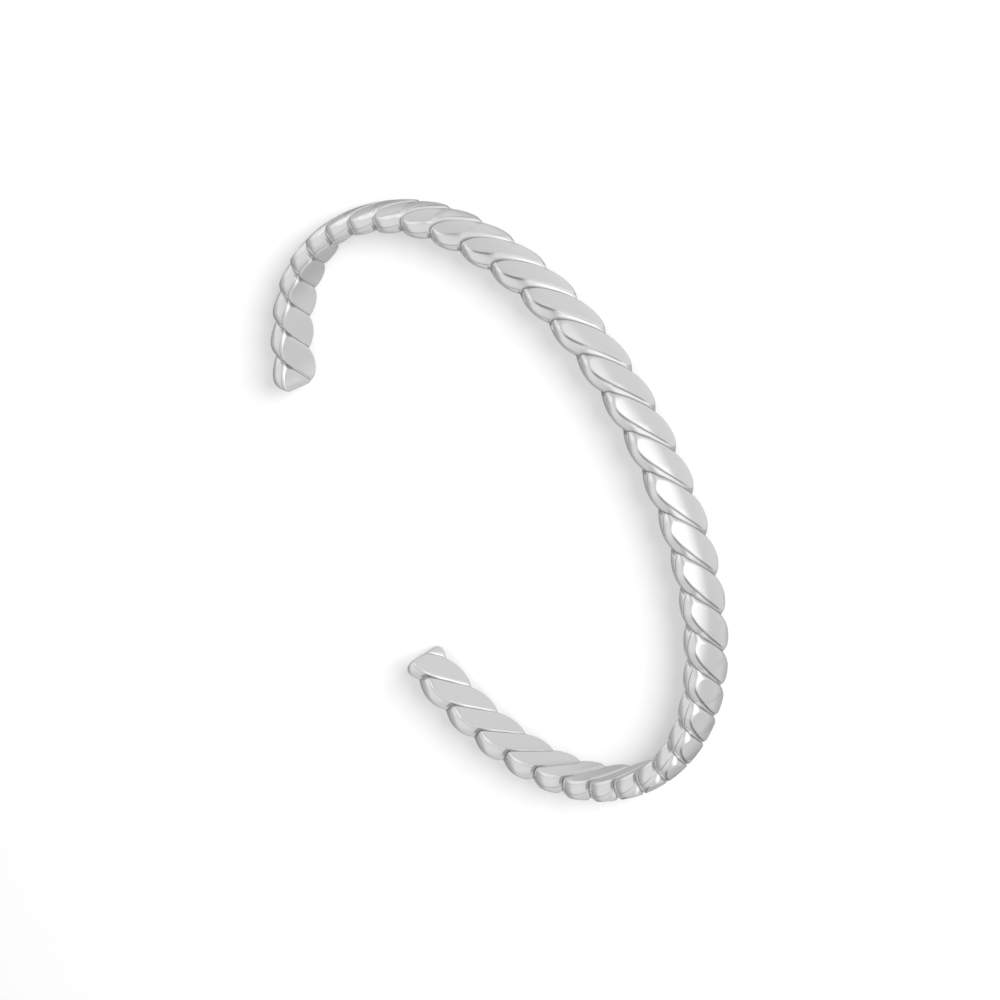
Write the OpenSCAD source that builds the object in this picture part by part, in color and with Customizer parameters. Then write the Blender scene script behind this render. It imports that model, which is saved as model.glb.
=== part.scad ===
// Open cuff bangle: two round wires twisted into a rope, rolled flat inside and
// crowned outside, cut to length and bent to an oval that fits a wrist.
// It lies on its side. The gap between its ends faces -Y.

/* [Oval] */
// Half of the oval's length, measured to the middle of the band
half_length = 30.2; // [26:0.1:36]
// Half of the oval's depth, measured to the middle of the band
half_depth = 26.9; // [23:0.1:32]
// Squareness of the oval: 2 is an ellipse
oval_power = 2.08; // [2:0.02:2.4]
// Unevenness of the hand-bent oval, as a share of its radius
bend_uneven = 0.012; // [0:0.001:0.02]
// Where that unevenness peaks, in degrees
bend_phase = 41; // [0:1:360]
// Half of the gap between the ends, as an angle at the oval's centre
gap_half_angle = 32.65; // [20:0.05:50]
// How far the gap's middle is turned from -Y, in degrees
gap_turn = -0.65; // [-3:0.05:3]

/* [Band] */
// Width of the band from lobe to lobe
band_w = 4.66; // [3.8:0.02:5.6]
// Height of the outer face above the middle of the band
outer_t = 1.38; // [1.2:0.02:1.5]
// Depth of the flat inner face below the middle of the band
inner_t = 1.14; // [1:0.02:1.4]
// Radius of the crown across the outer face
crown_r = 4.5; // [4:0.1:12]
// How much the rims narrow towards the wrist, as a share for each millimetre
rim_lean = 0.13; // [0:0.01:0.2]
// Distance from the middle of the band to where the rims begin to narrow
lean_from = 0.2; // [0:0.05:0.6]
// Share of its thickness that the band loses from its first end to its last
taper = 0.2; // [0:0.01:0.25]
// Turn of the band about its own length at the last end, in degrees
end_roll = 8; // [-10:1:10]
// Length over which that turn grows
roll_length = 35; // [20:1:60]

/* [Twist] */
// Distance along the band between neighbouring grooves
lobe_pitch = 4.11; // [3.4:0.01:5.4]
// Distance from the first end to the first groove on the outer face
first_groove = 4.09; // [0:0.01:4.2]
// Half thickness of the rope towards the outside, before rolling
outer_rope = 1.7; // [1.6:0.02:1.8]
// Half thickness of the rope towards the wrist, before rolling
inner_rope = 1.85; // [1.7:0.05:2]
// Squareness of the rope towards the outside: 2 is an ellipse
outer_power = 2.4; // [2:0.05:2.6]
// Squareness of the rope towards the wrist
inner_power = 3.2; // [2.6:0.1:4]
// Depth of the grooves of the rope on its faces
face_groove = 0.55; // [0.3:0.01:0.6]
// Depth of the grooves of the rope on its rims
rim_groove = 0.68; // [0.3:0.01:0.7]
// Depth of the fine grooves that are left on the rolled inner face
fine_groove = 0.24; // [0.1:0.02:0.3]
// How much of their advance the grooves make on the faces: 0 is an even helix
face_advance = 0.85; // [0:0.05:0.88]
// How far the crests of the outer face lean towards the last end, as a share of half a lobe
lobe_lean = 0.17; // [0:0.01:0.3]
// How much more they lean near the upper rim, and less near the lower one
lobe_skew = 0.36; // [0:0.02:0.4]
// Distance from the first end over which this lean grows
lean_length = 45; // [20:1:80]

/* [Ends] */
// Length of the rounding at each cut end
end_round = 1; // [0.4:0.05:1.2]
// Share of the thickness that the rounding takes off
end_thinning = 0.45; // [0.1:0.05:0.5]
// Share of the width that the rounding takes off
end_narrowing = 0.3; // [0.1:0.05:0.4]

/* [Facets] */
// Facets around the section
columns = 16; // [12:2:16]
// Rings for each full turn of the twist
rings_per_turn = 18; // [12:1:18]

/* [Hidden] */
wires = 2;
turn_len = wires * lobe_pitch;
oval_step = 0.5;
solver_steps = 7;
end_rings = [0, 0.12, 0.45, 1];
// Share of the band's length at which its thickness is as given above
full_at = 0.2;
// Steepness of the groove walls: on the faces, on the rims, and of the fine grooves
face_steep = 3;
rim_steep = 1.8;
fine_steep = 8;

// The oval that the middle of the band follows

function oval_r(a) =
    pow(pow(abs(cos(a)) / half_length, oval_power)
        + pow(abs(sin(a)) / half_depth, oval_power), -1 / oval_power)
    * (1 + bend_uneven * cos(3 * a + bend_phase));

function oval_at(a) = oval_r(a) * [cos(a), sin(a)];

function along_at(a) =
    let (d = oval_at(a + oval_step / 2) - oval_at(a - oval_step / 2))
    d / norm(d);

first_angle = gap_half_angle - 90 + gap_turn;
last_angle = 270 - gap_half_angle + gap_turn;
angle_count = ceil((last_angle - first_angle) / oval_step);
angle_each = (last_angle - first_angle) / angle_count;

// Pairs of arc length and angle along the band
length_table = [
    for (i = 0, s = 0, a = first_angle; i <= angle_count;
         s = s + norm(oval_at(a + angle_each) - oval_at(a)), a = a + angle_each, i = i + 1)
        [s, a]
];
band_length = length_table[angle_count][0];

// The twist. A turn is counted on the outer face, from the first groove there.
// The grooves lean along the faces and cross the rims steeply.

function advance(turn) = turn + face_advance * sin(720 * turn) / (4 * PI);

function turn_at(s) = solve_turn((s - first_groove) / turn_len, (s - first_groove) / turn_len, solver_steps);

function solve_turn(goal, turn, steps) =
    steps == 0
        ? turn
        : let (slope = 1 + face_advance * cos(720 * turn))
          solve_turn(goal, turn - (advance(turn) - goal) / slope, steps - 1);

// Position across a lobe, from -1 to 1 between its two grooves
function across_lobe(turn, ring_turn) =
    let (phase = wires * (advance(turn) - advance(ring_turn)))
    2 * (phase - floor(phase)) - 1;

// The same from 0 on the crest to 1 in a groove, with a share of the outer face's lean
function from_crest(lobe, q, share) =
    abs(lobe + share * max(0, cos(q)) * (lobe_lean + lobe_skew * sin(q)) * (1 - lobe * lobe));

function lean_share(s) = pow(min(1, s / lean_length), 2);

// The section: [outward, up] of a point on the rope, which is fuller towards the wrist

function rope_power(q) = cos(q) > 0 ? outer_power : inner_power;

function rope_half(q) = [cos(q) > 0 ? outer_rope : inner_rope, band_w / 2];

function rope_point(q) =
    let (m = rope_power(q), half = rope_half(q))
    pow(pow(abs(cos(q)), m) + pow(abs(sin(q)), m), -1 / m) * [half.x * cos(q), half.y * sin(q)];

function rope_normal(q) =
    let (m = rope_power(q), half = rope_half(q),
         n = [sign(cos(q)) * pow(abs(cos(q)), m - 1) / half.x,
              sign(sin(q)) * pow(abs(sin(q)), m - 1) / half.y])
    n / norm(n);

function groove_depth(q, across) =
    let (rim = pow(sin(q), 2))
    (face_groove + (rim_groove - face_groove) * rim)
    * pow(across, face_steep + (rim_steep - face_steep) * rim);

// The rollers crown the outer face, flatten the inner one and lean the rims in
function rolled(p, across) =
    let (crown = outer_t - (crown_r - sqrt(crown_r * crown_r - p.y * p.y)),
         flat = fine_groove * pow(across, fine_steep) - inner_t)
    [max(flat, min(crown, p.x)), p.y * (1 - rim_lean * max(0, -lean_from - p.x))];

function section_point(turn, ring_turn, size, lean) =
    let (q = 360 * turn, across = from_crest(across_lobe(turn, ring_turn), q, lean),
         p = rolled(rope_point(q) - groove_depth(q, across) * rope_normal(q), across))
    [p.x * size.x, p.y * size.y];

function turned(p, roll) = [p.x * cos(roll) + p.y * sin(roll), p.y * cos(roll) - p.x * sin(roll)];

function thickness_at(s) = 1 + taper * (full_at - s / band_length);

function roll_at(s) = end_roll * pow(max(0, 1 - (band_length - s) / roll_length), 2);

// Rings along the band: [arc length, turn, share of the section's thickness and width]

function end_size(e) =
    let (cut = 1 - sqrt(1 - pow(1 - e, 2)))
    [1 - end_thinning * cut, 1 - end_narrowing * cut];

turn_first = turn_at(end_round);
turn_last = turn_at(band_length - end_round);
ring_count = ceil((turn_last - turn_first) * rings_per_turn);
last_end_ring = len(end_rings) - 1;

rings = concat(
    [for (k = [0 : last_end_ring - 1])
        let (s = end_rings[k] * end_round) [s, turn_at(s), end_size(end_rings[k])]],
    [for (j = [0 : ring_count])
        let (turn = turn_first + (turn_last - turn_first) * j / ring_count)
        [first_groove + turn_len * advance(turn), turn, [1, 1]]],
    [for (k = [last_end_ring - 1 : -1 : 0])
        let (s = band_length - end_rings[k] * end_round) [s, turn_at(s), end_size(end_rings[k])]]
);

function ring_points(ring) =
    let (a = lookup(ring[0], length_table), c = oval_at(a), t = along_at(a), roll = roll_at(ring[0]),
         size = [ring[2].x * thickness_at(ring[0]), ring[2].y], lean = lean_share(ring[0]))
    [for (i = [0 : columns - 1])
        let (p = turned(section_point(ring[1] + i / columns, ring[1], size, lean), roll))
        [c.x + p.x * t.y, c.y - p.x * t.x, p.y]];

skin = [for (ring = rings) each ring_points(ring)];

// The origin is under the middle of the bangle, on the surface that it lies on
low = [for (k = [0 : 2]) min([for (p = skin) p[k]])];
high = [for (k = [0 : 2]) max([for (p = skin) p[k]])];
shift = [-(low.x + high.x) / 2, -(low.y + high.y) / 2, -low.z];

module twisted_cuff() {
    last = len(rings) - 1;
    end_mid = [for (a = [first_angle, last_angle]) [oval_at(a).x, oval_at(a).y, 0]];
    points = concat(skin, end_mid);
    sides = [
        for (j = [0 : last - 1], i = [0 : columns - 1])
            let (k = (i + 1) % columns, at = j * columns, next = at + columns)
            each [[at + i, at + k, next + i], [at + k, next + k, next + i]]
    ];
    caps = [
        for (i = [0 : columns - 1])
            let (k = (i + 1) % columns, at = last * columns)
            each [[len(skin), k, i], [len(skin) + 1, at + i, at + k]]
    ];
    color([0.84, 0.84, 0.85])
        translate(shift)
            polyhedron(points = points, faces = concat(sides, caps), convexity = 8);
}

twisted_cuff();
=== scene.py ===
"""An open twisted silver cuff on a pale floor, in soft studio light, as the photograph shows it.

Lengths are in metres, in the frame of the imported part. The cuff lies on its side on z = 0, and
the gap between its ends faces -y.
"""

import logging
import math
from dataclasses import dataclass, field, fields
from enum import Enum
from types import SimpleNamespace

import bpy
from mathutils import Matrix, Vector

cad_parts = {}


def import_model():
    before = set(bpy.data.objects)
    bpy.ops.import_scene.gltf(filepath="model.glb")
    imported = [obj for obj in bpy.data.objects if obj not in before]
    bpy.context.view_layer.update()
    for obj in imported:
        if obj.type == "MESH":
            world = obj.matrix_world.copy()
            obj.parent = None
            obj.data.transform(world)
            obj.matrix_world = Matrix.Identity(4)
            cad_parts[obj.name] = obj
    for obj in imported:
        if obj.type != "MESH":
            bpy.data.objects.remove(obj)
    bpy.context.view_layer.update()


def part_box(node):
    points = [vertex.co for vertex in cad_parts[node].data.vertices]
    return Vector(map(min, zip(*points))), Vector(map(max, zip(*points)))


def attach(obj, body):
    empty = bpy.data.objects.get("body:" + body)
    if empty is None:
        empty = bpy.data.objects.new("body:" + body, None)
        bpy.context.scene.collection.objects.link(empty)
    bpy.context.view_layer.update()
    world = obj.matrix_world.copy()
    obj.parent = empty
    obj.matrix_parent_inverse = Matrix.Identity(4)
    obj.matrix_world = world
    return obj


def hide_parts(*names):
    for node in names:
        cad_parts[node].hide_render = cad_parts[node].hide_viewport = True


log = logging.getLogger("twisted_cuff")
MM = 0.001
TAU = 2 * math.pi

Colour = tuple[float, float, float]
# Where an effect is nought, and where it is full
Fade = tuple[float, float]


class TreeKind(Enum):
    """The two kinds of node tree that the script writes."""

    GEOMETRY = "GeometryNodeTree"
    SHADER = "ShaderNodeTree"


class SocketKind(Enum):
    """The kinds of socket that the script's node groups have."""

    NUMBER = "NodeSocketFloat"
    COUNT = "NodeSocketInt"
    VECTOR = "NodeSocketVector"
    GEOMETRY = "NodeSocketGeometry"
    MATERIAL = "NodeSocketMaterial"


class Term:
    """A number in a node tree. Arithmetic on it adds Math nodes."""

    def __init__(self, graph: "Graph", socket: bpy.types.NodeSocket) -> None:
        """Keeps the graph and the socket that carries the number."""
        self.graph = graph
        self.socket = socket

    def __add__(self, other: "Term | float") -> "Term":
        """The sum of both."""
        return self.graph.math("ADD", self, other)

    def __radd__(self, other: float) -> "Term":
        """The sum of both."""
        return self.graph.math("ADD", other, self)

    def __sub__(self, other: "Term | float") -> "Term":
        """This less the other."""
        return self.graph.math("SUBTRACT", self, other)

    def __rsub__(self, other: float) -> "Term":
        """The other less this."""
        return self.graph.math("SUBTRACT", other, self)

    def __mul__(self, other: "Term | float") -> "Term":
        """The product of both."""
        return self.graph.math("MULTIPLY", self, other)

    def __rmul__(self, other: float) -> "Term":
        """The product of both."""
        return self.graph.math("MULTIPLY", other, self)

    def __truediv__(self, other: "Term | float") -> "Term":
        """This divided by the other."""
        return self.graph.math("DIVIDE", self, other)

    def __pow__(self, other: "Term | float") -> "Term":
        """This to the power of the other."""
        return self.graph.math("POWER", self, other)

    def __neg__(self) -> "Term":
        """This with its sign turned."""
        return self.graph.math("MULTIPLY", self, -1.0)


class Graph:
    """Writes formulas and nodes into one node tree."""

    def __init__(self, tree: bpy.types.NodeTree) -> None:
        """Keeps the tree that is written to."""
        self.tree = tree

    def node(self, kind: str, **settings: object) -> bpy.types.Node:
        """Adds a node.

        Args:
            kind: Blender's name for the node's type.
            settings: properties to set on it.

        Returns:
            The new node.
        """
        made = self.tree.nodes.new(kind)
        for name, value in settings.items():
            setattr(made, name, value)
        return made

    def feed(self, value: object, socket: bpy.types.NodeSocket) -> None:
        """Gives a socket its value.

        Args:
            value: a term or an output, which is linked, or anything else, which is set.
            socket: the input that takes it.
        """
        if isinstance(value, Term):
            value = value.socket
        if isinstance(value, bpy.types.NodeSocket):
            self.tree.links.new(value, socket)
        else:
            socket.default_value = value

    def math(self, operation: str, *values: object) -> Term:
        """One Math node.

        Args:
            operation: the node's operation.
            values: its inputs, terms or numbers.

        Returns:
            The result as a term.
        """
        made = self.node("ShaderNodeMath", operation=operation)
        for value, socket in zip(values, made.inputs):
            self.feed(value, socket)
        return Term(self, made.outputs[0])

    def vector(self, x: object, y: object, z: object) -> bpy.types.NodeSocket:
        """Three numbers joined into a vector.

        Args:
            x: the first, a term or a number.
            y: the second.
            z: the third.

        Returns:
            The output with the vector.
        """
        made = self.node("ShaderNodeCombineXYZ")
        for value, socket in zip((x, y, z), made.inputs):
            self.feed(value, socket)
        return made.outputs[0]

    def parts(self, vector: bpy.types.NodeSocket) -> tuple[Term, Term, Term]:
        """The three numbers of a vector.

        Args:
            vector: the output with the vector.

        Returns:
            The numbers as terms.
        """
        made = self.node("ShaderNodeSeparateXYZ")
        self.feed(vector, made.inputs[0])
        return tuple(Term(self, socket) for socket in made.outputs)

    def attribute(self, name: str) -> Term:
        """A number that the points of a piece carry."""
        return Term(self, self.node("ShaderNodeAttribute", attribute_name=name).outputs["Fac"])

    def noise(self, place: bpy.types.NodeSocket, scale: float, detail: float) -> Term:
        """Smooth noise over a place.

        Args:
            place: the vector that the noise reads.
            scale: how many times finer than one unit it is.
            detail: the number of finer layers.

        Returns:
            The noise, about 0.5 on average.
        """
        made = self.node("ShaderNodeTexNoise")
        self.feed(place, made.inputs["Vector"])
        made.inputs["Scale"].default_value = scale
        made.inputs["Detail"].default_value = detail
        return Term(self, made.outputs[0])

    def ramp(self, value: Term, low: object, high: object) -> Term:
        """A smooth step over a term.

        Args:
            value: the term.
            low: where the step is 0, a term or a number.
            high: where it is 1. It may lie below low.

        Returns:
            The step, held at 0 and 1 outside the two places.
        """
        made = self.node("ShaderNodeMapRange", clamp=True, interpolation_type="SMOOTHSTEP")
        for given, socket in zip((value, low, high, 0.0, 1.0), made.inputs):
            self.feed(given, socket)
        return Term(self, made.outputs[0])

    def clamped(self, value: Term) -> Term:
        """A term held between 0 and 1."""
        return self.math("MINIMUM", self.math("MAXIMUM", value, 0.0), 1.0)

    def mixed(self, share: Term, first: object, second: object) -> bpy.types.NodeSocket:
        """A colour between two.

        Args:
            share: the share of the second colour.
            first: the first colour, an output or four numbers.
            second: the second colour.

        Returns:
            The output with the colour.
        """
        made = self.node("ShaderNodeMix", data_type="RGBA")
        for value, name in ((share, "Factor"), (first, "A"), (second, "B")):
            self.feed(value, made.inputs[name])
        return made.outputs["Result"]

    def bump(self, height: object, depth: float, strength: float = 1.0) -> bpy.types.Node:
        """A Bump node.

        Args:
            height: the height map, a term or an output.
            depth: the length that a height of 1 stands for.
            strength: the share of the bump that is used.

        Returns:
            The node.
        """
        made = self.node("ShaderNodeBump")
        made.inputs["Strength"].default_value = strength
        made.inputs["Distance"].default_value = depth
        self.feed(height, made.inputs["Height"])
        return made


def new_group(name: str, kind: TreeKind) -> bpy.types.NodeTree:
    """An empty node group of one kind."""
    return bpy.data.node_groups.new(name, kind.value)


def direction(azimuth: float, elevation: float) -> Vector:
    """The direction that lies at two angles.

    Args:
        azimuth: the angle round from +x towards +y, in degrees.
        elevation: the angle above the floor, in degrees.

    Returns:
        The unit vector that points there.
    """
    azimuth, elevation = math.radians(azimuth), math.radians(elevation)
    flat = math.cos(elevation)
    return Vector((flat * math.cos(azimuth), flat * math.sin(azimuth), math.sin(elevation)))


@dataclass(frozen=True)
class CuffShape:
    """The sizes of the bent and twisted band, in metres and radians, as in the part's source."""

    # The oval that the middle of the band follows, and the angles of its two ends
    half_length: float = 30.2 * MM
    half_depth: float = 26.9 * MM
    oval_power: float = 2.08
    bend_uneven: float = 0.012
    bend_phase: float = math.radians(41)
    first_angle: float = math.radians(-58.0)
    last_angle: float = math.radians(236.7)
    # The rolled band, its taper, and its turn at the last end
    band_w: float = 4.66 * MM
    outer_t: float = 1.38 * MM
    inner_t: float = 1.14 * MM
    crown_r: float = 4.5 * MM
    taper: float = 0.2
    full_at: float = 0.2
    rim_lean: float = 0.13 / MM
    lean_from: float = 0.2 * MM
    end_roll: float = math.radians(8)
    roll_length: float = 35 * MM
    # The rope before rolling, its grooves, and the lean of its crests
    lobe_pitch: float = 4.11 * MM
    first_groove: float = 4.09 * MM
    outer_rope: float = 1.7 * MM
    inner_rope: float = 1.85 * MM
    outer_power: float = 2.4
    inner_power: float = 3.2
    face_groove: float = 0.55 * MM
    rim_groove: float = 0.68 * MM
    fine_groove: float = 0.24 * MM
    face_steep: float = 3.0
    rim_steep: float = 1.8
    fine_steep: float = 8.0
    face_advance: float = 0.85
    lobe_lean: float = 0.17
    lobe_skew: float = 0.36
    lean_length: float = 45 * MM
    # The cut ends: their rounding, and how far from the cut the finish stays plain
    end_round: float = 1.0 * MM
    end_thinning: float = 0.45
    end_narrowing: float = 0.3
    end_plain: float = 0.3 * MM
    # How far the edges that the rollers leave are softened
    outer_soft: float = 0.02 * MM
    inner_soft: float = 0.05 * MM
    lean_soft: float = 0.06 * MM
    # The mesh, whose rings are evened out and whose columns gather where the section bends
    rings: int = 1180
    columns: int = 84
    ring_evening: float = 0.55
    groove_gathering: float = 0.6
    edge_gathering: float = 0.6
    rim_gathering: float = 0.25
    path_points: int = 2400
    weld: float = 0.0002 * MM

    def oval_radius(self, angle: float) -> float:
        """The oval's radius.

        Args:
            angle: the angle at the oval's middle.

        Returns:
            The radius there.
        """
        flat = abs(math.cos(angle) / self.half_length) ** self.oval_power
        deep = abs(math.sin(angle) / self.half_depth) ** self.oval_power
        wave = 1 + self.bend_uneven * math.cos(3 * angle + self.bend_phase)
        return (flat + deep) ** (-1 / self.oval_power) * wave

    def length(self) -> float:
        """The length of the band.

        Returns:
            The length along its middle.
        """
        last = self.path_points - 1
        points = []
        for i in range(self.path_points):
            angle = self.first_angle + (self.last_angle - self.first_angle) * i / last
            radius = self.oval_radius(angle)
            points.append((radius * math.cos(angle), radius * math.sin(angle)))
        return sum(math.dist(a, b) for a, b in zip(points, points[1:]))

    def ring_turn(self, even: float) -> float:
        """The turn of a ring, from its turn on an even scale that the rings divide."""
        return even - self.ring_evening * math.sin(2 * TAU * even) / (2 * TAU)

    def even_turn_at(self, along: float, halvings: int = 50) -> float:
        """The even turn of the ring at a place, found by halving the range that it lies in.

        Args:
            along: the distance along the band.
            halvings: how many times the range is halved.

        Returns:
            The turn.
        """
        goal = (along - self.first_groove) / (2 * self.lobe_pitch)
        low, high = goal - 1.0, goal + 1.0
        for _ in range(halvings):
            middle = (low + high) / 2
            turn = self.ring_turn(middle)
            reached = turn + self.face_advance * math.sin(2 * TAU * turn) / (2 * TAU)
            low, high = (middle, high) if reached < goal else (low, middle)
        return (low + high) / 2


class CuffTree:
    """The Geometry Nodes tree that bends, twists and rolls the band."""

    # The inputs that are worked out from the sizes
    SOLVED = ("band_length", "first_turn", "last_turn")
    # How far from the leaves the cut faces count as lying, in millimetres, so that no edge line
    # reaches them
    FAR_LEAF = 3.0

    def __init__(self, name: str) -> None:
        """Makes the tree with an input for each size.

        Args:
            name: the tree's name.
        """
        self.tree = new_group(name, TreeKind.GEOMETRY)
        self.graph = Graph(self.tree)
        self.identifiers: dict[str, str] = {}
        for item in fields(CuffShape):
            self._input(item.name, SocketKind.COUNT if item.type is int else SocketKind.NUMBER)
        for solved in self.SOLVED:
            self._input(solved, SocketKind.NUMBER)
        self._input("metal", SocketKind.MATERIAL)
        self.tree.interface.new_socket(
            "Geometry", in_out="OUTPUT", socket_type=SocketKind.GEOMETRY.value
        )
        given = self.graph.node("NodeGroupInput").outputs
        self.size = SimpleNamespace(
            **{n: Term(self.graph, given[self.title(n)]) for n in self.identifiers}
        )
        self._build()

    @staticmethod
    def title(name: str) -> str:
        """The name that an input shows for a size."""
        return name.replace("_", " ").capitalize()

    def _input(self, name: str, kind: SocketKind) -> None:
        """Adds one input and keeps its identifier.

        Args:
            name: the name of the size that it takes.
            kind: its kind of socket.
        """
        made = self.tree.interface.new_socket(
            self.title(name), in_out="INPUT", socket_type=kind.value
        )
        self.identifiers[name] = made.identifier

    def _sway(self, share: Term, turn: Term, waves: int) -> Term:
        """How far a turn is moved forward and back by a wave along it.

        Args:
            share: the strength of the wave. At 1 the turn stands still where it is slowest.
            turn: the turn.
            waves: how many waves a whole turn has.

        Returns:
            The move, in turns.
        """
        return share * self.graph.math("SINE", turn * (waves * TAU)) / (waves * TAU)

    def _advance(self, turn: Term) -> Term:
        """How far the grooves have moved along at a turn, in turns."""
        return turn + self._sway(self.size.face_advance, turn, 2)

    def _pull(self, turn: Term) -> Term:
        """How far columns move at a turn, towards the leaf's edges and the rims."""
        edges = self._sway(self.size.edge_gathering, turn, 4)
        return edges + self._sway(self.size.rim_gathering, turn, 2)

    def _gathered(self, ring_turn: Term, share: Term) -> Term:
        """How far round a column is from its ring's groove, gathered where the section bends.

        Args:
            ring_turn: the turn of the ring's groove.
            share: the column's share of the way round.

        Returns:
            The column's turn from the groove, still 0, a half and 1 in the two grooves.
        """
        near = share - self._sway(self.size.groove_gathering, share, 2)
        fade = self.graph.math("COSINE", near * (2 * TAU)) * 0.5 + 0.5
        return near + self._pull(ring_turn + near) - self._pull(ring_turn) * fade

    def _oval(self) -> bpy.types.NodeSocket:
        """The oval of the band.

        Returns:
            The output with the curve that the middle of the band follows.
        """
        g, size = self.graph, self.size
        line = g.node("GeometryNodeMeshLine", mode="OFFSET")
        g.feed(size.path_points, line.inputs["Count"])
        index = Term(g, g.node("GeometryNodeInputIndex").outputs[0])
        share = index / (size.path_points - 1.0)
        angle = size.first_angle + (size.last_angle - size.first_angle) * share
        cosine, sine = g.math("COSINE", angle), g.math("SINE", angle)
        flat = g.math("ABSOLUTE", cosine / size.half_length) ** size.oval_power
        deep = g.math("ABSOLUTE", sine / size.half_depth) ** size.oval_power
        wave = 1.0 + size.bend_uneven * g.math("COSINE", angle * 3.0 + size.bend_phase)
        radius = (flat + deep) ** g.math("DIVIDE", -1.0, size.oval_power) * wave
        placed = g.node("GeometryNodeSetPosition")
        g.feed(line.outputs[0], placed.inputs["Geometry"])
        g.feed(g.vector(radius * cosine, radius * sine, 0.0), placed.inputs["Position"])
        curve = g.node("GeometryNodeMeshToCurve")
        g.feed(placed.outputs[0], curve.inputs[0])
        return curve.outputs[0]

    def _rope(self, turn: Term, across: Term) -> tuple[Term, Term]:
        """A point on the section of the twisted rope, with the grooves between its wires.

        Args:
            turn: the point's place round the section, in turns.
            across: its place across a lobe, 1 in a groove and 0 on the crest.

        Returns:
            How far out and how far up the point is.
        """
        g, size = self.graph, self.size
        cosine, sine = g.math("COSINE", turn * TAU), g.math("SINE", turn * TAU)
        outside = g.math("GREATER_THAN", cosine, 0.0)
        power = size.inner_power + (size.outer_power - size.inner_power) * outside
        half_t = size.inner_rope + (size.outer_rope - size.inner_rope) * outside
        half_w = size.band_w / 2.0
        flat, tall = g.math("ABSOLUTE", cosine), g.math("ABSOLUTE", sine)
        reach = (flat ** power + tall ** power) ** g.math("DIVIDE", -1.0, power)
        normal_x = g.math("SIGN", cosine) * flat ** (power - 1.0) / half_t
        normal_y = g.math("SIGN", sine) * tall ** (power - 1.0) / half_w
        norm = g.math("SQRT", normal_x * normal_x + normal_y * normal_y)
        rim = sine * sine
        steep = size.face_steep + (size.rim_steep - size.face_steep) * rim
        deepest = size.face_groove + (size.rim_groove - size.face_groove) * rim
        depth = deepest * across ** steep
        return (
            half_t * reach * cosine - depth * normal_x / norm,
            half_w * reach * sine - depth * normal_y / norm,
        )

    def _rolled(self, out: Term, up: Term, across: Term) -> tuple[Term, Term, Term]:
        """The section after the rollers: crowned outside, flat inside, rims leaning in.

        Args:
            out: how far out the rope's point is.
            up: how far up it is.
            across: its place across a lobe.

        Returns:
            The rolled point, out and up, and how far the rollers pressed it in. That is above 0
            on the leaves, the flattened parts of the lobes, and below 0 outside them.
        """
        g, size = self.graph, self.size
        drop = g.math("SQRT", size.crown_r * size.crown_r - up * up)
        crown = size.outer_t - size.crown_r + drop
        flat = size.fine_groove * across ** size.fine_steep - size.inner_t
        leaf = g.math("MAXIMUM", out - crown, flat - out)
        out = g.math("SMOOTH_MIN", out, crown, size.outer_soft)
        out = g.math("SMOOTH_MAX", out, flat, size.inner_soft)
        inside = g.math("SMOOTH_MAX", -size.lean_from - out, 0.0, size.lean_soft)
        return out, up * (1.0 - size.rim_lean * inside), leaf

    def _ended(self, out: Term, up: Term, along: Term, ring: Term) -> tuple[Term, Term]:
        """The section turned, rounded towards the cuts, and closed in the first and last ring.

        Args:
            out: how far out the point is.
            up: how far up it is.
            along: the ring's distance along the band.
            ring: the ring's number.

        Returns:
            The point, out and up.
        """
        g, size = self.graph, self.size
        left = size.band_length - along
        share = 1.0 - g.clamped(g.math("MINIMUM", along, left) / size.end_round)
        cut = 1.0 - g.math("SQRT", g.math("MAXIMUM", 1.0 - share * share, 0.0))
        opened = g.math("GREATER_THAN", ring, 0.5) * g.math("LESS_THAN", ring, size.rings - 1.5)
        thick = 1.0 + size.taper * (size.full_at - along / size.band_length)
        out = out * thick * (1.0 - size.end_thinning * cut) * opened
        up = up * (1.0 - size.end_narrowing * cut) * opened
        grown = g.math("MAXIMUM", 1.0 - left / size.roll_length, 0.0)
        roll = size.end_roll * grown * grown
        cosine, sine = g.math("COSINE", roll), g.math("SINE", roll)
        return out * cosine + up * sine, up * cosine - out * sine

    def _then(
        self, geometry: bpy.types.NodeSocket, made: bpy.types.Node, **inputs: object
    ) -> bpy.types.NodeSocket:
        """Passes the geometry through one more node.

        Args:
            geometry: the output with the geometry.
            made: the node.
            inputs: the values of its other inputs, by their names.

        Returns:
            The output with the changed geometry.
        """
        for name, value in {"Geometry": geometry, **inputs}.items():
            self.graph.feed(value, made.inputs[name])
        return made.outputs[0]

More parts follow.
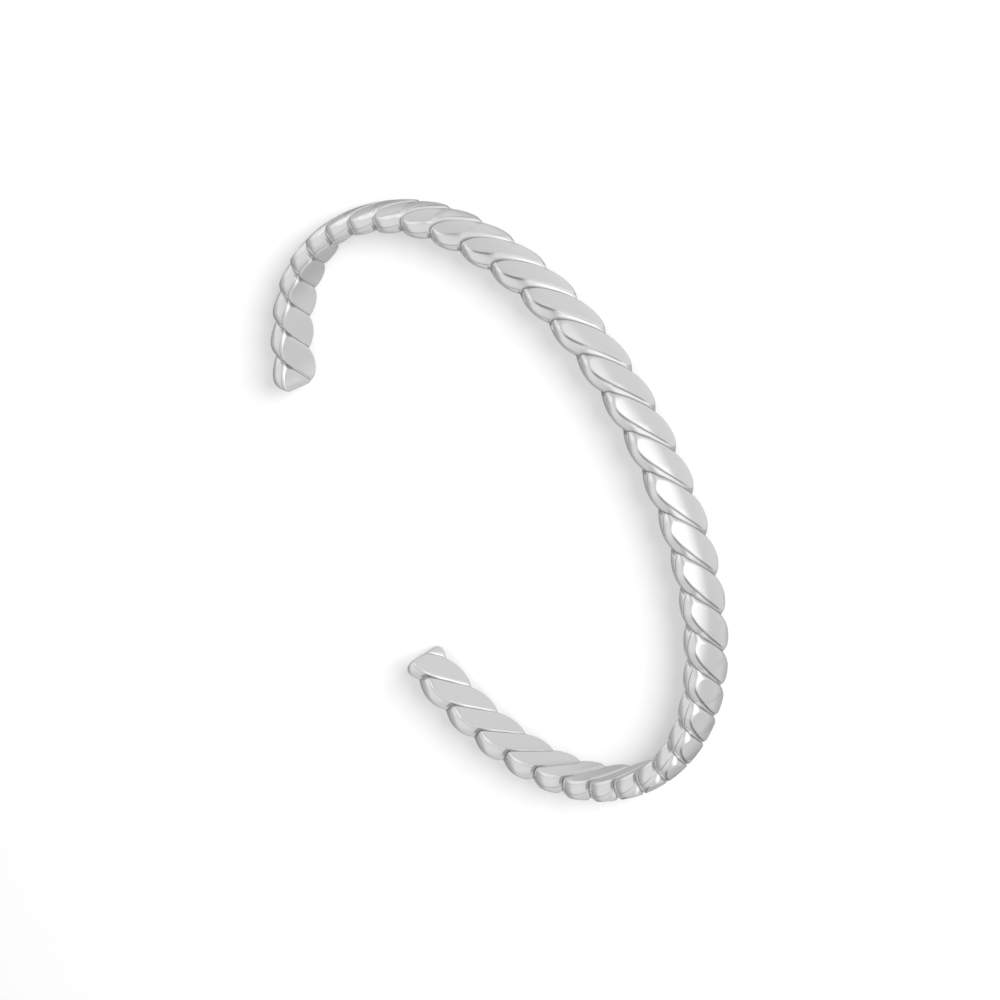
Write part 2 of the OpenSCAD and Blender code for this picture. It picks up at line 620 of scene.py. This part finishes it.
    def _build(self) -> None:
        """Writes the nodes, from the grid of rings to the finished and dressed band."""
        g, size = self.graph, self.size
        grid = g.node("GeometryNodeMeshGrid")
        g.feed(size.rings, grid.inputs["Vertices X"])
        g.feed(size.columns + 1.0, grid.inputs["Vertices Y"])
        index = Term(g, g.node("GeometryNodeInputIndex").outputs[0])
        ring = g.math("FLOOR", index / (size.columns + 1.0))
        column = index - ring * (size.columns + 1.0)
        share = g.clamped((ring - 1.0) / (size.rings - 3.0))
        even = size.first_turn + (size.last_turn - size.first_turn) * share
        ring_turn = even - self._sway(size.ring_evening, even, 2)
        advanced = self._advance(ring_turn)
        along = size.first_groove + size.lobe_pitch * 2.0 * advanced
        turn = ring_turn + self._gathered(ring_turn, column / size.columns)
        phase = (self._advance(turn) - advanced) * 2.0
        lobe = g.math("FRACT", phase) * 2.0 - 1.0
        lean = size.lobe_lean + size.lobe_skew * g.math("SINE", turn * TAU)
        grown = g.math("MINIMUM", along / size.lean_length, 1.0)
        lean = lean * grown * grown * g.math("MAXIMUM", g.math("COSINE", turn * TAU), 0.0)
        across = g.math("ABSOLUTE", lobe + lean * (1.0 - lobe * lobe))
        out, up = self._rope(turn, across)
        out, up, leaf = self._rolled(out, up, across)
        out, up = self._ended(out, up, along, ring)
        sample = g.node("GeometryNodeSampleCurve", mode="LENGTH")
        g.feed(self._oval(), sample.inputs["Curves"])
        g.feed(along, sample.inputs["Length"])
        centre_x, centre_y, _ = g.parts(sample.outputs["Position"])
        along_x, along_y, _ = g.parts(sample.outputs["Tangent"])
        place = g.vector(centre_x + out * along_y, centre_y - out * along_x, up)
        from_end = g.math("MINIMUM", along, size.band_length - along)
        worked = g.clamped(from_end / size.end_plain)
        leaf = leaf / MM * worked + (worked - 1.0) * self.FAR_LEAF
        band = grid.outputs["Mesh"]
        for name, kind, value in (
            ("groove", "FLOAT", across * worked),
            ("lobe", "FLOAT", lobe),
            ("leaf", "FLOAT", leaf),
            ("band_place", "FLOAT_VECTOR", g.vector(along, out, up)),
        ):
            store = g.node("GeometryNodeStoreNamedAttribute", data_type=kind, domain="POINT")
            band = self._then(band, store, Name=name, Value=value)
        band = self._then(band, g.node("GeometryNodeSetPosition"), Position=place)
        band = self._then(band, g.node("GeometryNodeMergeByDistance"), Distance=size.weld)
        band = self._then(band, g.node("GeometryNodeSetShadeSmooth"))
        band = self._then(band, g.node("GeometryNodeRealizeInstances"))
        band = self._then(band, g.node("GeometryNodeSetMaterial"), Material=size.metal)
        g.feed(band, g.node("NodeGroupOutput").inputs[0])

    def values(self, shape: CuffShape, metal: bpy.types.Material) -> dict[str, object]:
        """The value of each input, by its identifier.

        Args:
            shape: the band's sizes.
            metal: the material of the band.

        Returns:
            Identifier and value of each input.
        """
        length = shape.length()
        given = {item.name: getattr(shape, item.name) for item in fields(shape)}
        given["band_length"] = length
        given["first_turn"] = shape.even_turn_at(0.0)
        given["last_turn"] = shape.even_turn_at(length)
        given["metal"] = metal
        return {self.identifiers[name]: value for name, value in given.items()}


@dataclass(frozen=True)
class PolishMarks:
    """The fine marks of polishing and wear, as a node group that is read along the band."""

    name: str = "polish_marks"
    # Marks along the band
    long_stretch: float = 0.12
    long_scale: float = 9.0
    long_lines: Fade = (0.56, 0.7)
    # Marks across the band, at a slant
    cross_slant: float = 0.6
    cross_out: float = 0.2
    cross_up: float = 0.25
    cross_rise: float = 0.1
    cross_scale: float = 7.0
    cross_lines: Fade = (0.58, 0.72)
    # What both have in common, and the clouds of wear
    line_detail: float = 3.0
    line_height: float = 0.5
    cloud_scale: float = 0.7
    cloud_detail: float = 2.0

    def build(self) -> bpy.types.NodeTree:
        """Makes the group.

        Returns:
            The group, with a place and a grain as inputs, and a height and a cloud as outputs.
        """
        tree = new_group(self.name, TreeKind.SHADER)
        for name, side, kind in (
            ("Place", "INPUT", SocketKind.VECTOR),
            ("Grain", "INPUT", SocketKind.NUMBER),
            ("Height", "OUTPUT", SocketKind.NUMBER),
            ("Cloud", "OUTPUT", SocketKind.NUMBER),
        ):
            tree.interface.new_socket(name, in_out=side, socket_type=kind.value)
        g = Graph(tree)
        source = g.node("NodeGroupInput")
        grain = Term(g, source.outputs["Grain"])
        x, y, z = (part * grain for part in g.parts(source.outputs["Place"]))
        long_place = g.vector(x * self.long_stretch, y, z)
        cross_place = g.vector(
            x + y * self.cross_slant, y * self.cross_out, z * self.cross_up + x * self.cross_rise
        )
        long_marks = g.noise(long_place, self.long_scale, self.line_detail)
        cross_marks = g.noise(cross_place, self.cross_scale, self.line_detail)
        lines = g.ramp(long_marks, *self.long_lines) + g.ramp(cross_marks, *self.cross_lines)
        cloud = g.noise(g.vector(x, y, z), self.cloud_scale, self.cloud_detail)
        target = g.node("NodeGroupOutput")
        g.feed(lines * self.line_height, target.inputs["Height"])
        g.feed(cloud, target.inputs["Cloud"])
        return tree


@dataclass(frozen=True)
class BandReading:
    """What the silver reads at each point of the band, with lengths in millimetres.

    The run is the distance from the first end, and out and up are the place on the section. The
    groove is 1 in a groove and 0 on a crest, the lobe runs from -1 to 1 between two grooves, and
    the leaf is how far the rollers pressed the point in. The effects below give their places and
    widths in the same units.
    """

    run: Term
    out: Term
    up: Term
    outside: Term
    groove: Term
    lobe: Term
    leaf: Term
    cloud: Term

    @classmethod
    def take(cls, g: Graph, place: bpy.types.NodeSocket, cloud: Term) -> "BandReading":
        """Reads the attributes that the band carries.

        Args:
            g: the material's graph.
            place: the output with the run, out and up in metres.
            cloud: the clouds of wear.

        Returns:
            The reading.
        """
        run, out, up = (part / MM for part in g.parts(place))
        outside = g.math("GREATER_THAN", out, 0.0)
        groove, lobe, leaf = (g.attribute(name) for name in ("groove", "lobe", "leaf"))
        return cls(run, out, up, outside, groove, lobe, leaf, cloud)


@dataclass(frozen=True)
class RimCreaseShade:
    """A faint crease along both rims, which waves a little from lobe to lobe: a small bump, and a
    painted dark line of shade in the silver's colour.

    Its middle moves from one place on the rim to another along the band.
    """

    first_place: float = 0.25
    last_place: float = -0.3
    moves: Fade = (45.0, 62.0)
    width: float = 0.09
    rim: Fade = (1.5, 1.9)
    begins: Fade = (12.0, 22.0)
    ends: Fade = (128.0, 120.0)
    # How dark the painted shade along the crease is
    tone: float = 0.32
    depth: float = 0.04 * MM

    def mask(self, g: Graph, band: BandReading) -> Term:
        """Where the crease is.

        Args:
            g: the material's graph.
            band: what is read from the band.

        Returns:
            The mask, 1 in the middle of the crease and 0 off it.
        """
        rim = g.ramp(g.math("ABSOLUTE", band.up), *self.rim)
        moved = g.ramp(band.run, *self.moves)
        place = self.first_place + (self.last_place - self.first_place) * moved
        place = place * (1.0 - band.groove * band.groove)
        crease = g.ramp(g.math("ABSOLUTE", band.out - place), self.width, 0.0) * rim
        return crease * g.ramp(band.run, *self.begins) * g.ramp(band.run, *self.ends)


@dataclass(frozen=True)
class LeafEdgeShade:
    """The thin line round each leaf, a small bump and a painted dark line of shade at its rolled
    edge, fine inside, and wider and darker outside.

    Outside it shows only on the far side of a lobe, above the lower rim and before the last
    stretch of the band. Inside its painted shade darkens there.
    """

    outer_place: float = -0.02
    outer_width: float = 0.1
    # How dark the painted shade of the outer line is
    outer_tone: float = 0.92
    rim_widening: float = 0.05
    widens: Fade = (0.5, 1.5)
    outer_lobe: Fade = (-0.35, 0.1)
    outer_up: Fade = (-1.2, -0.4)
    outer_ends: Fade = (112.0, 98.0)
    inner_place: float = -0.3
    inner_width: float = 0.07
    inner_tone: float = 0.22
    # The painted shade of the inner line darkens towards the last end
    last_darkening: float = 0.34
    darkens: Fade = (114.0, 124.0)
    rise: float = 0.3

    def mask(self, g: Graph, band: BandReading) -> Term:
        """Where the line is.

        Args:
            g: the material's graph.
            band: what is read from the band.

        Returns:
            The mask, 1 in the middle of the line and 0 off it.
        """
        outer_width = self.outer_width + self.rim_widening * g.ramp(band.up, *self.widens)
        width = self.inner_width + (outer_width - self.inner_width) * band.outside
        place = self.inner_place + (self.outer_place - self.inner_place) * band.outside
        edge = g.ramp(g.math("ABSOLUTE", band.leaf - place), width, 0.0)
        faced = g.ramp(band.lobe, *self.outer_lobe) * g.ramp(band.up, *self.outer_up)
        faced = faced * g.ramp(band.run, *self.outer_ends)
        return edge * g.math("MAXIMUM", faced, 1.0 - band.outside)

    def tone(self, g: Graph, band: BandReading) -> Term:
        """How dark the painted shade of the line is."""
        inner = self.inner_tone + self.last_darkening * g.ramp(band.run, *self.darkens)
        return inner + (self.outer_tone - inner) * band.outside


@dataclass(frozen=True)
class HollowPatinaAndShoulderShade:
    """The dark and dull patina between the wires, and painted shade on the lobes' outer
    shoulders.

    These are the grooves, which are weaker low on the inner face, and the pits where they reach
    the upper rim inside. The outer shoulders of the lobes along the middle of the band are
    darkened as painted shade.
    """

    groove: Fade = (0.92, 1.0)
    groove_tone: float = 0.75
    cloud_middle: float = 0.5
    cloud_share: float = 0.04
    inner_loss: float = 0.5
    inner_up: Fade = (0.2, -1.0)
    pit_groove: Fade = (0.96, 1.04)
    pit_reach: float = 0.14
    pit_reaches: Fade = (0.1, 1.5)
    pit_up: Fade = (0.1, 0.9)
    pit_out: Fade = (0.1, -0.5)
    pit_tone: float = 0.7
    # Painted shade on the outer shoulders of the lobes, along the middle of the band
    shoulder_leaf: Fade = (-0.04, -0.12)
    shoulder_lobe: Fade = (0.0, 0.3)
    shoulder_up: Fade = (1.9, 1.4)
    shoulder_begins: Fade = (52.0, 68.0)
    shoulder_ends: Fade = (108.0, 90.0)
    shoulder_shade_tone: float = 0.5

    def mask(self, g: Graph, band: BandReading) -> Term:
        """How dark the patina in the hollows and the painted shade on the shoulders are.

        Args:
            g: the material's graph.
            band: what is read from the band.

        Returns:
            The mask, 0 where the metal is neither tarnished nor shaded.
        """
        clouded = band.groove + (band.cloud - self.cloud_middle) * self.cloud_share
        low_inside = (1.0 - band.outside) * g.ramp(band.up, *self.inner_up)
        groove = g.ramp(clouded, *self.groove) * (1.0 - self.inner_loss * low_inside)
        painted_shoulder_shade = g.ramp(band.leaf, *self.shoulder_leaf) * g.ramp(band.lobe, *self.shoulder_lobe)
        painted_shoulder_shade = painted_shoulder_shade * g.ramp(band.up, *self.shoulder_up) * band.outside
        painted_shoulder_shade = painted_shoulder_shade * g.ramp(band.run, *self.shoulder_begins)
        painted_shoulder_shade = painted_shoulder_shade * g.ramp(band.run, *self.shoulder_ends)
        groove = g.math("MAXIMUM", groove, painted_shoulder_shade * self.shoulder_shade_tone)
        reached = band.groove + g.ramp(band.up, *self.pit_reaches) * self.pit_reach
        pit = g.ramp(reached, *self.pit_groove)
        pit = pit * g.ramp(band.up, *self.pit_up) * g.ramp(band.out, *self.pit_out)
        return g.math("MAXIMUM", groove * self.groove_tone, pit * self.pit_tone)


@dataclass(frozen=True)
class PaintedHighlightLine:
    """A painted highlight: a white line in the silver's colour, with a small bump, along each
    outer groove of the last stretch.
    """

    groove_begins: Fade = (0.62, 0.8)
    groove_ends: Fade = (0.97, 0.88)
    lobe: Fade = (0.0, 0.3)
    begins: Fade = (82.0, 96.0)
    up: Fade = (1.7, 1.2)
    rise: float = 1.15

    def mask(self, g: Graph, band: BandReading) -> Term:
        """Where the line is.

        Args:
            g: the material's graph.
            band: what is read from the band.

        Returns:
            The mask, 1 in the middle of the line and 0 off it.
        """
        line = g.ramp(band.groove, *self.groove_begins) * g.ramp(band.groove, *self.groove_ends)
        line = line * g.ramp(band.lobe, *self.lobe) * band.outside
        return line * g.ramp(band.run, *self.begins) * g.ramp(band.up, *self.up)


@dataclass(frozen=True)
class PolishedSilver:
    """Silver with a high polish, fine marks, darker and duller hollows between the wires, painted
    dark lines and shoulders of shade, and a painted highlight line.
    """

    bright: Colour = (0.84, 0.84, 0.85)
    # White for the painted highlight line
    burnish: Colour = (1.0, 1.0, 1.0)
    # Dark colour for the patina in the hollows and for the painted shade
    tarnish: Colour = (0.22, 0.22, 0.22)
    roughness: float = 0.09
    cloud_roughness: float = 0.05
    cloud_middle: float = 0.4
    hollow_roughness: float = 0.16
    marks_per_metre: float = 900.0
    mark_depth: float = 0.0015 * MM
    mark_strength: float = 0.6
    marks: PolishMarks = PolishMarks()
    # The rim crease and leaf lines, the shoulders' shade and the highlight line are painted light
    # and shade
    crease: RimCreaseShade = RimCreaseShade()
    edge: LeafEdgeShade = LeafEdgeShade()
    hollows: HollowPatinaAndShoulderShade = HollowPatinaAndShoulderShade()
    line: PaintedHighlightLine = PaintedHighlightLine()

    def build(self) -> bpy.types.Material:
        """Makes the material.

        Returns:
            The material, which reads the attributes groove, lobe, leaf and band_place.
        """
        material = bpy.data.materials.new("polished_silver")
        material.use_nodes = True
        g = Graph(material.node_tree)
        shader = material.node_tree.nodes["Principled BSDF"].inputs
        shader["Metallic"].default_value = 1.0
        place = g.node("ShaderNodeAttribute", attribute_name="band_place").outputs["Vector"]
        marks = g.node("ShaderNodeGroup", node_tree=self.marks.build())
        g.feed(place, marks.inputs["Place"])
        marks.inputs["Grain"].default_value = self.marks_per_metre
        band = BandReading.take(g, place, Term(g, marks.outputs["Cloud"]))
        crease, edge = self.crease.mask(g, band), self.edge.mask(g, band)
        line = self.line.mask(g, band)
        # Painted shade: dark lines along the rim crease and round the leaves
        painted_shade_lines = g.math("MAXIMUM", crease * self.crease.tone, edge * self.edge.tone(g, band))
        # Patina in the hollows and painted shade, lifted where the painted highlight lies
        dark = g.math("MAXIMUM", self.hollows.mask(g, band), painted_shade_lines) * (1.0 - line)
        # Painted highlight: the silver turns white along the line
        metal = g.mixed(line, (*self.bright, 1), (*self.burnish, 1))
        g.feed(g.mixed(dark, metal, (*self.tarnish, 1)), shader["Base Color"])
        worn = self.roughness + (band.cloud - self.cloud_middle) * self.cloud_roughness
        g.feed(worn + dark * self.hollow_roughness, shader["Roughness"])
        scratched = g.bump(marks.outputs["Height"], self.mark_depth, self.mark_strength)
        pressed_in = crease - edge * self.edge.rise - line * self.line.rise
        pressed = g.bump(pressed_in, self.crease.depth)
        pressed.invert = True
        g.feed(scratched.outputs[0], pressed.inputs["Normal"])
        g.feed(pressed.outputs[0], shader["Normal"])
        return material


@dataclass
class TwistedCuff:
    """The bangle itself: one band, bent, twisted and rolled by its tree.

    Its middle is the middle of the oval, which is known once the band is built.
    """

    shape: CuffShape = field(default_factory=CuffShape)
    finish: PolishedSilver = field(default_factory=PolishedSilver)
    name: str = "twisted_cuff_silver"
    node: str = "twisted_cuff"
    slot: str = "polished_silver"
    middle: Vector = field(default_factory=Vector)

    def build(self) -> bpy.types.Object:
        """Makes the band as one plain mesh in the frame, on the body and in place of the solid.

        Returns:
            The piece.
        """
        tree = CuffTree("twisted_band")
        seed = bpy.data.meshes.new(self.name + "_seed")
        piece = bpy.data.objects.new(self.name, seed)
        bpy.context.scene.collection.objects.link(piece)
        modifier = piece.modifiers.new("band", "NODES")
        modifier.node_group = tree.tree
        for identifier, value in tree.values(self.shape, self.finish.build()).items():
            modifier[identifier] = value
        piece.update_tag()
        bpy.context.view_layer.update()
        evaluated = piece.evaluated_get(bpy.context.evaluated_depsgraph_get())
        mesh = bpy.data.meshes.new_from_object(evaluated)
        piece.modifiers.remove(modifier)
        piece.data = mesh
        mesh.name = self.name
        bpy.data.meshes.remove(seed)
        self._settle(mesh)
        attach(piece, "root")
        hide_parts(self.node)
        log.info("%s: %d faces", piece.name, len(mesh.polygons))
        return piece

    def _settle(self, mesh: bpy.types.Mesh) -> None:
        """Moves the band to where the solid's box is, resting on the same surface.

        Args:
            mesh: the band's mesh, with the middle of the oval at the origin.
        """
        low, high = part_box(self.node)
        corners = [[f(v.co[k] for v in mesh.vertices) for k in range(3)] for f in (min, max)]
        offset = [(low[k] + high[k] - corners[0][k] - corners[1][k]) / 2 for k in (0, 1)]
        self.middle = Vector((*offset, low[2] - corners[0][2]))
        mesh.transform(Matrix.Translation(self.middle))
        log.info("middle of the oval at %.4f %.4f %.4f mm", *(c / MM for c in self.middle))


@dataclass(frozen=True)
class PalePaper:
    """Pale paper with a faint grain, which glows a little so that shadows fall off softly."""

    colour: Colour = (0.55, 0.55, 0.55)
    glow_colour: Colour = (1.0, 1.0, 1.0)
    glow: float = 0.22
    grain_per_metre: float = 900.0
    grain_detail: float = 2.0
    grain_middle: float = 0.5
    grain_depth: float = 0.01 * MM
    grain_strength: float = 0.2
    grain_roughness: float = 0.2
    roughness: float = 0.5

    def build(self) -> bpy.types.Material:
        """Makes the material.

        Returns:
            The material.
        """
        material = bpy.data.materials.new("white_paper")
        material.use_nodes = True
        g = Graph(material.node_tree)
        shader = material.node_tree.nodes["Principled BSDF"].inputs
        shader["Base Color"].default_value = (*self.colour, 1)
        place = g.node("ShaderNodeTexCoord").outputs["Object"]
        grain = g.noise(place, self.grain_per_metre, self.grain_detail)
        rough = self.roughness + (grain - self.grain_middle) * self.grain_roughness
        g.feed(rough, shader["Roughness"])
        relief = g.bump(grain, self.grain_depth, self.grain_strength)
        g.feed(relief.outputs[0], shader["Normal"])
        shader["Emission Color"].default_value = (*self.glow_colour, 1)
        seen = Term(g, g.node("ShaderNodeLightPath").outputs["Is Camera Ray"])
        g.feed(seen * self.glow, shader["Emission Strength"])
        return material


@dataclass
class StudioFloor:
    """A plain pale floor that fades into white."""

    half_size: float = 1.5
    finish: PalePaper = field(default_factory=PalePaper)

    def build(self) -> bpy.types.Object:
        """Makes the floor.

        Returns:
            The floor. The metal doesn't mirror it.
        """
        s = self.half_size
        mesh = bpy.data.meshes.new("studio_floor")
        mesh.from_pydata([(-s, -s, 0), (s, -s, 0), (s, s, 0), (-s, s, 0)], [], [(0, 1, 2, 3)])
        floor = bpy.data.objects.new("studio_floor", mesh)
        bpy.context.scene.collection.objects.link(floor)
        mesh.materials.append(self.finish.build())
        floor.visible_glossy = False
        log.info("studio floor")
        return floor


@dataclass(frozen=True)
class Glow:
    """A soft patch of light in the studio's pale walls, with angles in degrees.

    It is full within one angle of its middle and gone at another. A strength below 0 shades.
    """

    azimuth: float
    elevation: float
    full: float
    gone: float
    strength: float


@dataclass
class SoftStudio:
    """Plain soft studio light: pale walls all round with soft patches, and one soft lamp.

    Angles are in degrees. The lamp stands on the camera's side.
    """

    walls: float = 0.675
    glows: tuple[Glow, ...] = (
        Glow(62, 16, 14, 56, 0.55),
        Glow(118, 14, 6, 32, 0.2),
        Glow(-132, 26, 6, 26, 0.22),
        Glow(-158, 46, 6, 21, 0.28),
        Glow(42, 42, 5, 38, 0.3),
        Glow(12, 18, 4, 26, 0.3),
        Glow(-95, 66, 5, 45, 0.14),
        Glow(-95, 12, 5, 40, -0.17),
        Glow(110, -45, 20, 80, 0.08),
        Glow(-90, -50, 20, 75, 0.07),
        Glow(-78, -33, 22, 58, -0.26),
    )
    lamp_azimuth: float = 99.5
    lamp_elevation: float = 20.0
    lamp_distance: float = 0.9
    lamp_size: float = 0.31
    lamp_watts: float = 20.6

    def build(self) -> None:
        """Makes the world and the lamp that light the scene."""
        world = bpy.data.worlds.new("soft_studio")
        world.use_nodes = True
        bpy.context.scene.world = world
        g = Graph(world.node_tree)
        sight = g.node("ShaderNodeVectorMath", operation="NORMALIZE")
        g.feed(g.node("ShaderNodeTexCoord").outputs["Generated"], sight.inputs[0])
        light: Term | float = self.walls
        for glow in self.glows:
            light = self._patch(g, glow, sight.outputs[0]) + light
        g.feed(light, world.node_tree.nodes["Background"].inputs["Color"])
        self._lamp()
        log.info("soft studio light with %d glows", len(self.glows))

    def _lamp(self) -> None:
        """Adds the lamp, which casts the soft shadow but isn't mirrored by the metal."""
        data = bpy.data.lights.new("soft_lamp", "AREA")
        data.shape = "DISK"
        data.size = self.lamp_size
        data.energy = self.lamp_watts
        lamp = bpy.data.objects.new("soft_lamp", data)
        bpy.context.scene.collection.objects.link(lamp)
        away = direction(self.lamp_azimuth, self.lamp_elevation)
        lamp.location = away * self.lamp_distance
        lamp.rotation_euler = away.to_track_quat("Z", "Y").to_euler()
        lamp.visible_glossy = False

    @staticmethod
    def _patch(g: Graph, glow: Glow, sight: bpy.types.NodeSocket) -> Term:
        """The light of one glow.

        Args:
            g: the world's graph.
            glow: the glow.
            sight: the output with the direction that is looked in.

        Returns:
            Its strength in that direction.
        """
        dot = g.node("ShaderNodeVectorMath", operation="DOT_PRODUCT")
        g.feed(sight, dot.inputs[0])
        dot.inputs[1].default_value = direction(glow.azimuth, glow.elevation)
        near, far = (math.cos(math.radians(angle)) for angle in (glow.full, glow.gone))
        return g.ramp(Term(g, dot.outputs["Value"]), far, near) * glow.strength


@dataclass
class PhotoCamera:
    """The camera of the photograph, with angles in degrees and lengths in metres.

    The lens and the width of the sensor are in millimetres, as Blender takes them.
    """

    target: Vector
    azimuth: float = 101.91
    elevation: float = 33.32
    roll: float = -121.02
    distance: float = 422.8 * MM
    lens: float = 158.63
    sensor: float = 36.0
    shift: tuple[float, float] = (0.005, 0.0017)
    clip: tuple[float, float] = (0.01, 20.0)

    def build(self) -> bpy.types.Object:
        """Makes the camera and gives it to the scene.

        Returns:
            The camera.
        """
        back, roll = direction(self.azimuth, self.elevation), math.radians(self.roll)
        level = (-back).cross(Vector((0, 0, 1))).normalized()
        rise = level.cross(-back)
        right = math.cos(roll) * level + math.sin(roll) * rise
        up = math.cos(roll) * rise - math.sin(roll) * level
        data = bpy.data.cameras.new("photo_camera")
        data.sensor_width = self.sensor
        data.lens = self.lens
        data.shift_x, data.shift_y = self.shift
        data.clip_start, data.clip_end = self.clip
        camera = bpy.data.objects.new("photo_camera", data)
        bpy.context.scene.collection.objects.link(camera)
        place = Matrix((right, up, back)).transposed().to_4x4()
        place.translation = self.target + back * self.distance
        camera.matrix_world = place
        bpy.context.scene.camera = camera
        log.info("camera at %.0f mm", self.distance / MM)
        return camera


def main() -> None:
    """Builds the bangle, the floor, the light and the camera."""
    logging.basicConfig(level=logging.INFO, format="%(name)s: %(message)s")
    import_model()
    cuff = TwistedCuff()
    cuff.build()
    StudioFloor().build()
    SoftStudio().build()
    PhotoCamera(cuff.middle).build()
    bpy.context.scene.view_settings.view_transform = "Standard"


if __name__ == "__main__":
    main()
